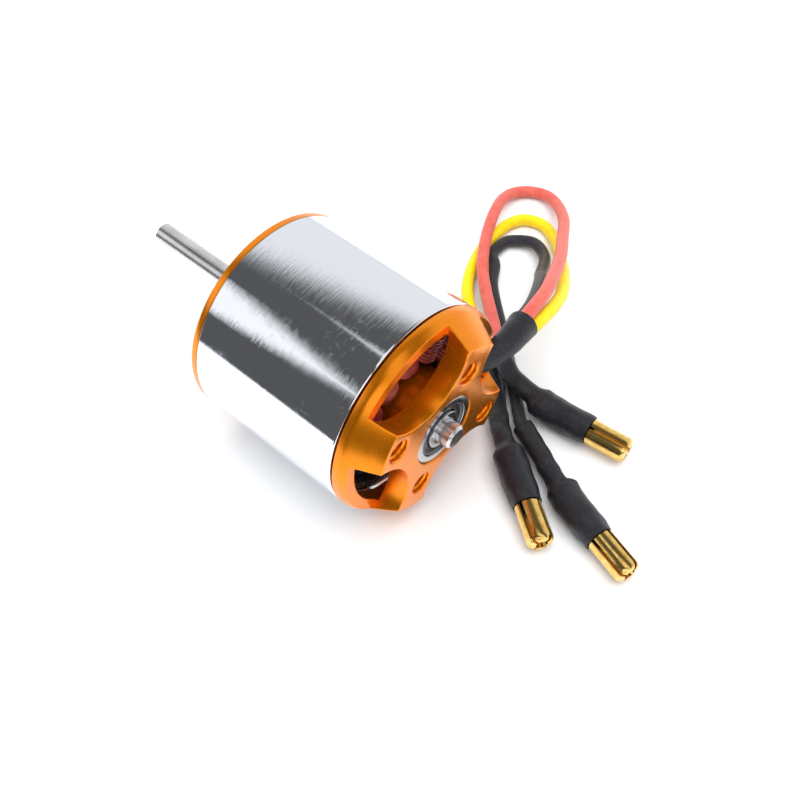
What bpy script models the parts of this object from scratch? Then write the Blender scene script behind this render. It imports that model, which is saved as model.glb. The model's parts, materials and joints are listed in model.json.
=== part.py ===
"""A 28 mm class brushless outrunner motor with three leads, lying on its side.

The shaft's axis is along X. +X points from the output end of the shaft to the mounting face, +Z is
up, and the floor is at Z = 0. Along the axis, places are given as stations: millimetres from the
front face of the bell cap, growing towards the mounting face.
"""

import math

import bmesh
import bpy
from mathutils import Quaternion, Vector

MM = 0.001
SHARP_ANGLE = math.radians(35)
ROUND = 64  # segments of a large turned piece
SMALL_ROUND = 28  # segments of a bearing part or another small turned piece

# Fits, in mm
SLIP = 0.03  # between pieces that are fixed together
RUN = 0.10  # radial clearance of what turns
AIR_GAP = 0.30  # between the stator teeth and the magnets

# Bell, in mm
BELL_R = 14.0
BELL_WALL = 1.35
CAP_RIM = 1.0
RING_END = 23.1
SPIGOT_END = 2.6
CAP_PLATE = 2.0
HUB_R = 5.0
HUB_FRONT = -3.6
HUB_BACK = 5.5
HUB_INNER_R = 4.4
VENTS = 6
VENT_R = (6.4, 11.0)
VENT_HALF_ANGLE = math.radians(19)
MAGNETS = 14
MAGNET_THICK = 1.0
MAGNET_SPAN = (4.6, 22.5)
MAGNET_HALF_ANGLE = math.radians(11.6)

# Shaft, in mm
SHAFT_R = 1.5875
SHAFT_SPAN = (-21.7, 30.3)
SHAFT_CHAMFER = 0.3
GRUB_R = 1.4
GRUB_LENGTH = 3.0
SOCKET_R = 0.8
SOCKET_DEPTH = 1.2
GRUB_STATION = -1.9
GRUB_ANGLES = (90, 210)
SPACER_R = 2.5

# Base, in mm
FACE = 28.5
RIM = (23.4, 24.4)
FACE_R = 11.75
FACE_EDGE = 0.2
POCKET_R = 12.1
POCKET_END = 25.6
TUBE_R = 5.45
TUBE_FRONT = 6.4
TUBE_BORE_R = 3.9
HOLE_R = 1.5
HOLE_COUNTERSINK = 0.22
SCREWS = ((9.5, 149.1), (8.0, 59.1), (9.5, -30.9), (8.0, -120.9))  # distance from the axis, direction
SCALLOPS = (  # distance of the centre from the axis, radius, direction
    (13.3, 7.0, 104), (13.3, 7.0, 284), (14.2, 7.2, 193.5), (14.2, 7.2, 13.5),
)
SCALLOP_FLOOR = 25.2

# Bearings: 3.175 x 9.525 x 3.967 mm, shielded, 7 balls
BEARING_R = 4.7625
BEARING_WIDTH = 3.967
BEARING_PITCH_R = 3.175
BALL_R = 0.794
BALLS = 7
INNER_LAND_R = 2.55
OUTER_LAND_R = 3.80
GROOVE_HALF = 0.55
SHIELD_THICK = 0.2
SHIELD_INSET = 0.15
CAGE_R = (2.85, 3.5)
CAGE_HALF_WIDTH = 0.35
REAR_BEARING = FACE - 0.12 - BEARING_WIDTH / 2
FRONT_BEARING = TUBE_FRONT + 0.05 + BEARING_WIDTH / 2

# Stator, in mm
TEETH = 12
STACK = (7.0, 21.2)
HUB_RING_R = 6.7
STEM_HALF = 0.95
TIP_THICK = 0.7
SLOT_MOUTH = 0.8
COIL_R = (7.0, 10.15)
COIL_OVERHANG = 2.6
COIL_CORNER = 0.9

# Leads, in mm
WIRE_R = 0.9
TUBE_THIN_R = 1.35
TUBE_THICK_R = 2.15
CORD_GAP = 0.12
PIN_LENGTH = 5.6
PIN_R = 1.75
SLEEVE_R = (1.5, 2.02)

# The sleeve comes out of the scallop on the +Y side. The three wires leave it, loop over the floor
# behind the bell and come back past the base. World places in mm.
SLEEVE_ROUTE = (
    (19.7, 8.4, 16.0), (20.6, 8.4, 16.0), (21.7, 9.0, 16.2), (22.5, 10.6, 16.5),
    (22.9, 13.0, 16.9), (22.9, 15.2, 17.05), (22.7, 17.0, 17.0),
)
WIRE_ROUTES = {
    "red": (
        (22.7, 17.15, 18.05), (22.4, 19.5, 17.9), (21.5, 23.4, 16.8), (19.5, 28.4, 14.4),
        (16.7, 34.7, 11.1), (13.0, 41.3, 7.4), (9.4, 47.4, 4.4), (5.6, 51.6, 2.2),
        (2.6, 53.2, 1.3), (-0.2, 52.6, 1.0), (-2.0, 50.4, 1.2), (-2.0, 47.3, 2.0),
        (-0.8, 43.6, 2.8), (1.0, 39.6, 3.0), (3.2, 35.6, 3.0), (5.8, 32.0, 2.9),
        (9.0, 28.8, 2.8), (12.5, 25.7, 2.8), (15.4, 23.0, 3.2), (17.6, 21.0, 3.7),
    ),
    "yellow": (
        (23.65, 17.15, 16.45), (23.5, 19.8, 16.1), (22.9, 23.6, 14.9), (21.2, 28.4, 12.3),
        (17.8, 34.4, 8.6), (13.4, 40.5, 4.9), (9.8, 45.3, 1.7), (6.1, 47.6, 0.95),
        (3.0, 46.8, 0.95), (1.6, 44.4, 0.95), (1.4, 41.4, 0.95), (1.6, 38.2, 0.95),
        (2.5, 34.6, 0.95), (3.9, 31.4, 0.95), (5.6, 28.8, 0.95), (7.8, 26.6, 0.95),
        (11.2, 24.0, 0.95), (14.6, 21.5, 0.95), (16.7, 19.75, 1.3),
    ),
    "black": (
        (21.75, 17.15, 16.45), (21.2, 20.4, 15.9), (19.4, 24.9, 13.7), (16.6, 30.4, 10.1),
        (14.4, 34.1, 6.3), (11.0, 40.6, 2.5), (7.4, 43.0, 1.5), (4.2, 41.6, 1.0),
        (3.5, 40.0, 0.95), (3.7, 37.2, 0.95), (5.4, 35.7, 0.95), (7.3, 32.6, 0.95),
        (9.8, 30.0, 0.95), (12.9, 27.2, 0.95), (16.2, 24.2, 0.95), (19.4, 21.2, 0.95),
        (22.6, 18.1, 0.95), (25.2, 15.4, 1.2), (26.6, 14.1, 1.7),
    ),
}
TUBE_ROUTES = {
    "red": (
        (17.85, 20.8, 3.75), (20.0, 19.1, 4.0), (22.6, 18.2, 3.8), (25.2, 18.2, 3.1),
        (28.0, 18.4, 2.2), (34.0, 19.0, 2.2),
    ),
    "yellow": (
        (16.9, 19.6, 1.4), (19.4, 17.3, 1.4), (21.8, 14.8, 1.45), (24.1, 12.4, 1.7),
        (26.8, 10.0, 2.2), (31.0, 7.0, 2.2), (34.5, 4.5, 2.2),
    ),
    "black": (
        (26.85, 13.9, 1.8), (30.8, 12.0, 2.1), (33.8, 10.4, 2.2), (36.5, 9.1, 2.2),
        (40.4, 7.6, 2.2), (44.0, 6.5, 2.2),
    ),
}
TUBE_THICK_LENGTH = 8.0
ROUTE_STEP = 2.9

COLOURS = {  # base colour, roughness, metallic
    "orange_anodised": ((0.86, 0.36, 0.03), 0.35, 1.0),
    "polished_steel": ((0.85, 0.86, 0.88), 0.12, 1.0),
    "ground_steel": ((0.62, 0.62, 0.64), 0.28, 1.0),
    "bearing_steel": ((0.70, 0.70, 0.72), 0.2, 1.0),
    "shield_steel": ((0.32, 0.32, 0.34), 0.3, 1.0),
    "black_oxide": ((0.03, 0.03, 0.03), 0.4, 0.8),
    "coated_magnet": ((0.05, 0.05, 0.055), 0.4, 0.0),
    "coated_core": ((0.06, 0.07, 0.10), 0.45, 0.0),
    "enamelled_copper": ((0.62, 0.14, 0.07), 0.3, 0.4),
    "red_silicone": ((0.75, 0.09, 0.06), 0.5, 0.0),
    "yellow_silicone": ((0.95, 0.72, 0.02), 0.5, 0.0),
    "black_silicone": ((0.03, 0.03, 0.035), 0.5, 0.0),
    "shrink_tube": ((0.04, 0.04, 0.045), 0.55, 0.0),
    "gold_plate": ((0.90, 0.66, 0.25), 0.25, 1.0),
}


def clear_scene():
    for obj in list(bpy.data.objects):
        bpy.data.objects.remove(obj)


def new_collection(name):
    collection = bpy.data.collections.new(name)
    bpy.context.scene.collection.children.link(collection)
    return collection


def new_material(name, colour, roughness, metallic):
    material = bpy.data.materials.new(name)
    material.use_nodes = True
    shader = material.node_tree.nodes["Principled BSDF"]
    shader.inputs["Base Color"].default_value = (*colour, 1.0)
    shader.inputs["Roughness"].default_value = roughness
    shader.inputs["Metallic"].default_value = metallic
    return material


def new_axis(name):
    """An empty on the motor's axis, whose local Z runs along the stations."""
    axis = bpy.data.objects.new(name, None)
    parts.objects.link(axis)
    middle = sum(SHAFT_SPAN) / 2
    axis.location = Vector((-middle, 0, BELL_R)) * MM
    axis.rotation_mode = "QUATERNION"
    axis.rotation_quaternion = Quaternion((0, 1, 0), math.radians(90))
    return axis


def add_object(name, data, material, parent):
    """A visible piece, or a cutter when it has no material."""
    obj = bpy.data.objects.new(name, data)
    obj.parent = parent
    if material is None:
        cutters.objects.link(obj)
        obj.hide_render = True
        obj.display_type = "WIRE"
    else:
        parts.objects.link(obj)
        data.materials.append(materials[material])
    return obj


def bake(obj):
    """Puts the mesh that the modifiers make in their place, smooth with its sharp edges kept."""
    bpy.context.view_layer.update()
    graph = bpy.context.evaluated_depsgraph_get()
    mesh = bpy.data.meshes.new_from_object(obj.evaluated_get(graph))
    obj.modifiers.clear()
    obj.data = mesh
    mesh.shade_smooth()
    mesh.set_sharp_from_angle(angle=SHARP_ANGLE)
    return obj


def combine(obj, others, operation):
    for other in others:
        modifier = obj.modifiers.new(f"{operation.lower()} {other.name}", "BOOLEAN")
        modifier.operation = operation
        modifier.solver = "EXACT"
        modifier.object = other
    return bake(obj)


def cut(obj, others):
    return combine(obj, others, "DIFFERENCE")


def polar(radius, degrees):
    """A place in the plane across the axis. Degrees run from +Y towards +Z."""
    angle = math.radians(degrees + 90)
    return Vector((radius * math.cos(angle), radius * math.sin(angle), 0))


def turned(name, profile, material, parent, segments=ROUND, closed=True):
    """A turned piece. The profile's (radius, station) pairs run down its outer side from the high station."""
    mesh = bpy.data.meshes.new(name)
    last = len(profile) if closed else len(profile) - 1
    edges = [(i, (i + 1) % len(profile)) for i in range(last)]
    mesh.from_pydata([(r * MM, 0, s * MM) for r, s in profile], edges, [])
    obj = add_object(name, mesh, material, parent)
    screw = obj.modifiers.new("turn", "SCREW")
    screw.steps = screw.render_steps = segments
    screw.use_merge_vertices = True
    screw.merge_threshold = 0.000001
    return bake(obj)


def rod(name, radius, span, material, parent, segments=SMALL_ROUND):
    """A plain cylinder between two stations."""
    mesh = bpy.data.meshes.new(name)
    bm = bmesh.new()
    length = span[1] - span[0]
    bmesh.ops.create_cone(
        bm, cap_ends=True, segments=segments, radius1=radius * MM, radius2=radius * MM, depth=length * MM
    )
    bmesh.ops.translate(bm, verts=bm.verts, vec=(0, 0, (span[0] + length / 2) * MM))
    bm.to_mesh(mesh)
    bm.free()
    return bake(add_object(name, mesh, material, parent))


def plate(name, outlines, span, material, parent):
    """A flat piece between two stations. An outline inside another is a hole."""
    curve = bpy.data.curves.new(name, "CURVE")
    curve.dimensions = "2D"
    curve.fill_mode = "BOTH"
    curve.extrude = (span[1] - span[0]) / 2 * MM
    for outline in outlines:
        spline = curve.splines.new("POLY")
        spline.points.add(len(outline) - 1)
        for point, (x, y) in zip(spline.points, outline):
            point.co = (x * MM, y * MM, 0, 1)
        spline.use_cyclic_u = True
    guide = bpy.data.objects.new(name + "_outline", curve)
    cutters.objects.link(guide)
    bpy.context.view_layer.update()
    graph = bpy.context.evaluated_depsgraph_get()
    mesh = bpy.data.meshes.new_from_object(guide.evaluated_get(graph))
    bpy.data.objects.remove(guide)
    bm = bmesh.new()
    bm.from_mesh(mesh)
    bmesh.ops.remove_doubles(bm, verts=bm.verts, dist=0.000001)
    bmesh.ops.recalc_face_normals(bm, faces=bm.faces)
    bmesh.ops.translate(bm, verts=bm.verts, vec=(0, 0, (span[0] + span[1]) / 2 * MM))
    bm.to_mesh(mesh)
    bm.free()
    mesh.name = name
    return bake(add_object(name, mesh, material, parent))


def arc(radius, start, end, points):
    """Points on an arc about the axis, angles in radians."""
    step = (end - start) / (points - 1)
    return [(radius * math.cos(start + i * step), radius * math.sin(start + i * step)) for i in range(points)]


def sector(r_in, r_out, half_angle, points):
    return arc(r_out, -half_angle, half_angle, points) + arc(r_in, half_angle, -half_angle, points)


def spun_copies(first, names, step):
    """Further objects with the first one's mesh, each turned on about the axis."""
    for index, name in enumerate(names, start=1):
        twin = add_object(name, first.data, None, first.parent)
        twin.hide_render = False
        twin.display_type = "TEXTURED"
        cutters.objects.unlink(twin)
        parts.objects.link(twin)
        twin.rotation_euler.z = first.rotation_euler.z + index * step


def smooth_route(points, step):
    """Evenly spaced points on a Catmull-Rom curve through the route's points."""
    knots = [Vector(p) for p in points]
    knots = [2 * knots[0] - knots[1], *knots, 2 * knots[-1] - knots[-2]]
    fine = []
    for a, b, c, d in zip(knots, knots[1:], knots[2:], knots[3:]):
        for i in range(12):
            t = i / 12
            bend = 2 * a - 5 * b + 4 * c - d
            twist = 3 * b - a - 3 * c + d
            fine.append(0.5 * (2 * b + (c - a) * t + bend * t**2 + twist * t**3))
    fine.append(knots[-2])
    lengths = [0.0]
    for a, b in zip(fine, fine[1:]):
        lengths.append(lengths[-1] + (b - a).length)
    count = max(2, round(lengths[-1] / step))
    spaced = []
    for i in range(count + 1):
        wanted = lengths[-1] * i / count
        k = max(j for j, length in enumerate(lengths) if length <= wanted + 1e-9)
        k = min(k, len(fine) - 2)
        share = (wanted - lengths[k]) / (lengths[k + 1] - lengths[k])
        spaced.append(fine[k].lerp(fine[k + 1], share))
    return spaced


def tube(name, route, radii, material, step=ROUTE_STEP):
    """A round solid along a route in world mm. radii gives the radius for a share of the length."""
    points = smooth_route(route, step)
    curve = bpy.data.curves.new(name, "CURVE")
    curve.dimensions = "3D"
    curve.bevel_depth = MM
    curve.bevel_resolution = 2
    curve.use_fill_caps = True
    spline = curve.splines.new("POLY")
    spline.points.add(len(points) - 1)
    for i, (point, place) in enumerate(zip(spline.points, points)):
        point.co = (*(place * MM), 1)
        point.radius = radii(i / (len(points) - 1))
    return add_object(name, curve, material, None)


def make_base():
    """The anodised base: a short cone with a rim, cut to a cross by four scallops, and the bearing tube."""
    seat_r = BEARING_R + SLIP
    rear_seat = REAR_BEARING - BEARING_WIDTH / 2 - 0.05
    front_seat = FRONT_BEARING + BEARING_WIDTH / 2 + 0.05
    profile = [
        (FACE_R - FACE_EDGE, FACE), (FACE_R, FACE - FACE_EDGE), (BELL_R, RIM[1]), (BELL_R, RIM[0]),
        (POCKET_R, RIM[0]), (POCKET_R, POCKET_END), (TUBE_R, POCKET_END), (TUBE_R, TUBE_FRONT),
        (seat_r, TUBE_FRONT), (seat_r, front_seat), (TUBE_BORE_R, front_seat),
        (TUBE_BORE_R, rear_seat), (seat_r, rear_seat), (seat_r, FACE),
    ]
    base = turned("mount_base", profile, "orange_anodised", stator_axis)
    tools = []
    for i, (centre, radius, direction) in enumerate(SCALLOPS, start=1):
        tool = rod(f"cut_scallop_{i}", radius, (SCALLOP_FLOOR, FACE + 1), None, stator_axis, 48)
        tool.location = polar(centre, direction) * MM
        tools.append(tool)
    for i, (distance, direction) in enumerate(SCREWS, start=1):
        sunk_r = HOLE_R + HOLE_COUNTERSINK
        hole = [
            (0, FACE + 0.5), (sunk_r + 0.5, FACE + 0.5), (HOLE_R, FACE - HOLE_COUNTERSINK),
            (HOLE_R, POCKET_END - 0.5), (0, POCKET_END - 0.5),
        ]
        tool = turned(f"cut_screw_hole_{i}", hole, None, stator_axis, 20, closed=False)
        tool.location = polar(distance, direction) * MM
        tools.append(tool)
    cut(base, tools)


def make_bearing(where, middle):
    """One shielded ball bearing: two races, two shields, and the balls with their cage."""
    half = BEARING_WIDTH / 2
    edge = 0.2
    groove_out = BEARING_PITCH_R + BALL_R + 0.05
    groove_in = BEARING_PITCH_R - BALL_R - 0.04
    bore = SHAFT_R + SLIP
    outer = [
        (BEARING_R - edge, middle + half), (BEARING_R, middle + half - edge),
        (BEARING_R, middle - half + edge), (BEARING_R - edge, middle - half),
        (OUTER_LAND_R, middle - half), (OUTER_LAND_R, middle - GROOVE_HALF),
        (groove_out, middle - 0.15), (groove_out, middle + 0.15),
        (OUTER_LAND_R, middle + GROOVE_HALF), (OUTER_LAND_R, middle + half),
    ]
    inner = [
        (INNER_LAND_R, middle + half), (INNER_LAND_R, middle + GROOVE_HALF),
        (groove_in, middle + 0.2), (groove_in, middle - 0.2),
        (INNER_LAND_R, middle - GROOVE_HALF), (INNER_LAND_R, middle - half),
        (bore + 0.1, middle - half), (bore, middle - half + 0.1), (bore, middle + half - 0.1),
        (bore + 0.1, middle + half),
    ]
    turned(f"{where}_bearing_outer_race", outer, "bearing_steel", stator_axis, 40)
    turned(f"{where}_bearing_inner_race", inner, "bearing_steel", rotor_axis, SMALL_ROUND)
    for side, sign in (("outside", 1), ("inside", -1)):
        if where == "front":
            sign = -sign
        face = middle + sign * (half - SHIELD_INSET - SHIELD_THICK / 2)
        shield = [
            (OUTER_LAND_R - SLIP, face + SHIELD_THICK / 2), (OUTER_LAND_R - SLIP, face - SHIELD_THICK / 2),
            (INNER_LAND_R + RUN, face - SHIELD_THICK / 2), (INNER_LAND_R + RUN, face + SHIELD_THICK / 2),
        ]
        turned(f"{where}_bearing_{side}_shield", shield, "shield_steel", stator_axis, SMALL_ROUND)
    make_ball_set(where, middle)


def make_ball_set(where, middle):
    """The balls joined with their cage, which turn together at their own speed."""
    cage = [
        (CAGE_R[1], middle + CAGE_HALF_WIDTH), (CAGE_R[1], middle - CAGE_HALF_WIDTH),
        (CAGE_R[0], middle - CAGE_HALF_WIDTH), (CAGE_R[0], middle + CAGE_HALF_WIDTH),
    ]
    mesh = bpy.data.meshes.new(f"{where}_balls")
    bm = bmesh.new()
    for i in range(BALLS):
        ball = bmesh.ops.create_uvsphere(bm, u_segments=8, v_segments=6, radius=BALL_R * MM)
        place = polar(BEARING_PITCH_R, 360 * i / BALLS) + Vector((0, 0, middle))
        bmesh.ops.translate(bm, verts=ball["verts"], vec=place * MM)
    bm.to_mesh(mesh)
    bm.free()
    balls = add_object(f"join_{where}_balls", mesh, None, rotor_axis)
    ring = turned(f"{where}_bearing_ball_set", cage, "bearing_steel", rotor_axis, SMALL_ROUND)
    combine(ring, [balls], "UNION")


def make_bell():
    """The turning shell: vented cap with its hub, steel ring and magnets."""
    bore = SHAFT_R + SLIP
    inside = BELL_R - BELL_WALL
    cap = [
        (inside - SLIP, SPIGOT_END), (inside - SLIP, CAP_RIM), (BELL_R, CAP_RIM), (BELL_R, 0.3),
        (BELL_R - 0.3, 0), (HUB_R, 0), (HUB_R, HUB_FRONT + 0.4), (HUB_R - 0.4, HUB_FRONT),
        (bore, HUB_FRONT), (bore, HUB_BACK), (HUB_INNER_R, HUB_BACK), (HUB_INNER_R, CAP_PLATE),
        (inside - 1.3, CAP_PLATE), (inside - 1.3, SPIGOT_END),
    ]
    bell_cap = turned("bell_cap", cap, "orange_anodised", rotor_axis)
    tools = []
    for i in range(VENTS):
        outline = sector(*VENT_R, VENT_HALF_ANGLE, 6)
        tool = plate(f"cut_vent_{i + 1}", [outline], (-1, CAP_PLATE + 2), None, rotor_axis)
        tool.rotation_euler.z = 2 * math.pi * i / VENTS
        tools.append(tool)
    for i, angle in enumerate(GRUB_ANGLES, start=1):
        tool = rod(f"cut_grub_hole_{i}", GRUB_R + SLIP, (1, HUB_R + 1), None, rotor_axis, 16)
        lay_radial(tool, angle)
        tools.append(tool)
    cut(bell_cap, tools)
    ring = [
        (BELL_R - 0.15, RING_END), (BELL_R, RING_END - 0.15), (BELL_R, CAP_RIM + SLIP),
        (inside, CAP_RIM + SLIP), (inside, RING_END),
    ]
    turned("flux_ring", ring, "polished_steel", rotor_axis)
    outside = inside - 2 * SLIP
    outline = sector(outside - MAGNET_THICK, outside, MAGNET_HALF_ANGLE, 5)
    first = plate("magnet_01", [outline], MAGNET_SPAN, "coated_magnet", rotor_axis)
    spun_copies(first, [f"magnet_{i:02d}" for i in range(2, MAGNETS + 1)], 2 * math.pi / MAGNETS)


def lay_radial(obj, degrees):
    """Turns a piece made along the axis so that it points outwards at the grub screws' station."""
    direction = polar(1, degrees)
    obj.rotation_mode = "QUATERNION"
    obj.rotation_quaternion = direction.to_track_quat("Z", "Y")
    obj.location = (0, 0, GRUB_STATION * MM)


def make_shaft():
    half_out = SHAFT_R - SHAFT_CHAMFER
    profile = [
        (0, SHAFT_SPAN[1]), (half_out, SHAFT_SPAN[1]), (SHAFT_R, SHAFT_SPAN[1] - SHAFT_CHAMFER),
        (SHAFT_R, SHAFT_SPAN[0] + SHAFT_CHAMFER), (half_out, SHAFT_SPAN[0]), (0, SHAFT_SPAN[0]),
    ]
    turned("shaft", profile, "ground_steel", rotor_axis, 32, closed=False)
    bore = SHAFT_R + SLIP
    front_face = FRONT_BEARING - BEARING_WIDTH / 2 - SLIP
    spacer = [
        (SPACER_R, front_face), (SPACER_R, HUB_BACK + SLIP),
        (bore, HUB_BACK + SLIP), (bore, front_face),
    ]
    turned("hub_spacer", spacer, "bearing_steel", rotor_axis, SMALL_ROUND)
    for i, angle in enumerate(GRUB_ANGLES, start=1):
        seat = SHAFT_R + 2 * SLIP
        top = seat + GRUB_LENGTH
        screw = rod(f"grub_screw_{i}", GRUB_R, (seat, top), "black_oxide", rotor_axis, 16)
        socket = rod(f"cut_socket_{i}", SOCKET_R, (top - SOCKET_DEPTH, top + 1), None, rotor_axis, 6)
        lay_radial(screw, angle)
        lay_radial(socket, angle)
        cut(screw, [socket])


def make_core():
    """The lamination stack: a hub ring with one T-shaped tooth for each coil."""
    tooth_r = BELL_R - BELL_WALL - 2 * SLIP - MAGNET_THICK - AIR_GAP
    tip = math.pi / TEETH - SLOT_MOUTH / 2 / tooth_r
    root = math.asin(STEM_HALF / HUB_RING_R)
    under_r = tooth_r - TIP_THICK
    flank = [
        (HUB_RING_R * math.cos(root), HUB_RING_R * math.sin(root)),
        (under_r - 0.2, STEM_HALF),
        (under_r * math.cos(tip), under_r * math.sin(tip)),
    ]
    outline = []
    for i in range(TEETH):
        middle = 2 * math.pi * i / TEETH
        outline += [turn((x, -y), middle) for x, y in flank]
        outline += arc(tooth_r, middle - tip, middle + tip, 5)
        outline += [turn(point, middle) for point in reversed(flank)]
    bore = arc(TUBE_R + 2 * SLIP, 0, 2 * math.pi * (1 - 1 / ROUND), ROUND)
    plate("stator_core", [outline, bore], STACK, "coated_core", stator_axis)


def turn(point, angle):
    x, y = point
    return (x * math.cos(angle) - y * math.sin(angle), x * math.sin(angle) + y * math.cos(angle))


def make_coils():
    """One winding round each tooth: a block that widens outwards, with the tooth's stem through it."""
    half_stack = (STACK[1] - STACK[0]) / 2
    half_length = half_stack + COIL_OVERHANG
    mesh = bpy.data.meshes.new("coil_01")
    bm = bmesh.new()
    bmesh.ops.create_cube(bm, size=1)
    spread = math.tan(math.pi / TEETH)
    for vert in bm.verts:
        radius = COIL_R[0] if vert.co.x < 0 else COIL_R[1]
        half_width = radius * spread - 2 * SLIP
        across = math.copysign(half_width, vert.co.y)
        along = math.copysign(half_length, vert.co.z)
        vert.co = Vector((radius, across, along)) * MM
    long_edges = [e for e in bm.edges if abs(e.verts[0].co.x - e.verts[1].co.x) > MM]
    bmesh.ops.bevel(bm, geom=long_edges, offset=COIL_CORNER * MM, segments=3, affect="EDGES", profile=0.5)
    bm.to_mesh(mesh)
    bm.free()
    first = add_object("coil_01", mesh, "enamelled_copper", stator_axis)
    first.location.z = sum(STACK) / 2 * MM
    block = bpy.data.meshes.new("cut_stem")
    bm = bmesh.new()
    bmesh.ops.create_cube(bm, size=1)
    window = Vector((COIL_R[1] * 2, 2 * (STEM_HALF + SLIP), 2 * (half_stack + SLIP))) * MM
    bmesh.ops.scale(bm, verts=bm.verts, vec=window)
    bmesh.ops.translate(bm, verts=bm.verts, vec=(COIL_R[1] * MM, 0, 0))
    bm.to_mesh(block)
    bm.free()
    stem = add_object("cut_stem", block, None, stator_axis)
    stem.location.z = first.location.z
    cut(first, [stem])
    names = [f"coil_{i:02d}" for i in range(2, TEETH + 1)]
    spun_copies(first, names, 2 * math.pi / TEETH)
    for name in names:
        bpy.data.objects[name].location.z = first.location.z


def make_leads():
    """The sleeve, the three wires, and a shrink tube and a bullet pin on the end of each."""
    tube("lead_sleeve", SLEEVE_ROUTE, sleeve_radius, "shrink_tube", 1.2)
    for colour, route in WIRE_ROUTES.items():
        tube(f"wire_{colour}", route, lambda share: WIRE_R, f"{colour}_silicone")
        shrink = tube(f"shrink_tube_{colour}", TUBE_ROUTES[colour], lambda share: 1.0, "shrink_tube", 1.6)
        thicken_end(shrink.data.splines[0].points)
        make_bullet(colour)


def sleeve_radius(share):
    return SLEEVE_R[0] + (SLEEVE_R[1] - SLEEVE_R[0]) * max(0.0, share - 0.35) / 0.65


def thicken_end(points):
    """The tube is thin over the wire and thick over the pin's solder cup at its far end."""
    end = points[-1].co.to_3d()
    for point in points:
        left = (end - point.co.to_3d()).length / MM
        share = min(1.0, max(0.0, (TUBE_THICK_LENGTH + 1.2 - left) / 1.2))
        point.radius = TUBE_THIN_R + (TUBE_THICK_R - TUBE_THIN_R) * share


def make_bullet(colour):
    """A turned plug pin that starts at the shrink tube's end and points the way the tube does."""
    route = TUBE_ROUTES[colour]
    start = Vector(route[-1])
    direction = (start - Vector(route[-2])).normalized()
    profile = [
        (0, PIN_LENGTH), (PIN_R * 0.62, PIN_LENGTH), (PIN_R * 0.86, PIN_LENGTH - 0.5),
        (PIN_R, PIN_LENGTH - 1.6), (PIN_R, 1.9), (PIN_R * 0.84, 1.2), (PIN_R * 0.84, 0.8),
        (PIN_R, 0.7), (PIN_R, 0), (0, 0),
    ]
    bullet = turned(f"bullet_pin_{colour}", profile, "gold_plate", None, 20, closed=False)
    bullet.rotation_mode = "QUATERNION"
    bullet.rotation_quaternion = direction.to_track_quat("Z", "Y")
    bullet.location = (start + direction * CORD_GAP) * MM


clear_scene()
parts = new_collection("brushless_outrunner_motor")
cutters = new_collection("cutters")
materials = {name: new_material(name, *values) for name, values in COLOURS.items()}
stator_axis = new_axis("stator_axis")
rotor_axis = new_axis("rotor_axis")
make_base()
make_core()
make_coils()
make_bell()
make_shaft()
make_bearing("rear", REAR_BEARING)
make_bearing("front", FRONT_BEARING)
make_leads()
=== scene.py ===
"""Looks for a 28 mm class brushless outrunner motor with three leads, on a pale studio floor.

Places along the motor's axis are stations: millimetres from the front face of the bell cap, growing
towards the mounting face. Directions across the axis are degrees from +Y towards +Z.
"""

import json
import math
import random

import bmesh
import bpy
from mathutils import Matrix, Quaternion, Vector, noise

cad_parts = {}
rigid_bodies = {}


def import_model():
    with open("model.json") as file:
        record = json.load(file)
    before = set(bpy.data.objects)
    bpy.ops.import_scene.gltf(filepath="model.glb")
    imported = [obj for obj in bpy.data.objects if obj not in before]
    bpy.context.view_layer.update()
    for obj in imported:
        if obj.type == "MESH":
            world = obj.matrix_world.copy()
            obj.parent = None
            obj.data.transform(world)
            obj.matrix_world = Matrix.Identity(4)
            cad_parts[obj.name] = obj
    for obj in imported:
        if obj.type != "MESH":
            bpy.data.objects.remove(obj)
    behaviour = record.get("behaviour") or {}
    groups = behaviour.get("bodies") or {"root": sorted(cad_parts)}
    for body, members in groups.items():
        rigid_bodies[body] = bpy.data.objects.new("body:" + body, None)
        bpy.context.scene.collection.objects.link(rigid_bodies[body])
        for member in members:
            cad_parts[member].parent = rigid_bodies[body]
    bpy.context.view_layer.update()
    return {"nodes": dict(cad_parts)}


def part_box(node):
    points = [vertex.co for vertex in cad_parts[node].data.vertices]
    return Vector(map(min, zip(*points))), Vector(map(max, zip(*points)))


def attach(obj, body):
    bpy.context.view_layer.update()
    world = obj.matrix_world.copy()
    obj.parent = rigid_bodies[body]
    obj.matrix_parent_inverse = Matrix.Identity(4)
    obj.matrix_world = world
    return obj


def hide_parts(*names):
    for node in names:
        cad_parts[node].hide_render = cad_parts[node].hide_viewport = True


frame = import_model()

MM = 0.001

# Dimensions, in mm, as the CAD has them
SHAFT_R = 1.5875
SHAFT_SPAN = (-21.7, 30.3)
FACE = 28.5
RIM = (23.4, 24.4)
BELL_R = 14.0
BELL_WALL = 1.35
CAP_RIM = 1.0
CAP_PLATE = 2.0
CAP_LIP_R = 12.6
RING_END = 23.1
HUB_R = 5.0
HUB_FRONT = -3.6
HUB_BACK = 5.5
HUB_INNER_R = 4.4
VENTS = 6
VENT_R = (6.4, 11.0)
VENT_HALF_ANGLE = math.radians(19)
GRUB_STATION = -1.9
GRUB_ANGLES = (90, 210)
GRUB_HOLE_R = 1.43
FACE_R = 11.75
POCKET_R = 12.1
POCKET_END = 25.6
CONE_STATIONS = (27.4, 26.4, POCKET_END)
SCALLOP_FLOOR = 25.2
TUBE_R = 5.45
TUBE_FRONT = 6.4
TUBE_BORE_R = 3.9
HOLE_R = 1.5
THREAD_DEPTH = 0.24
THREAD_PITCH = 0.5
ARM_EDGE = 0.14
# Distance from the axis and direction
SCREWS = ((9.5, 149.1), (8.0, 59.1), (9.5, -30.9), (8.0, -120.9))
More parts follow.
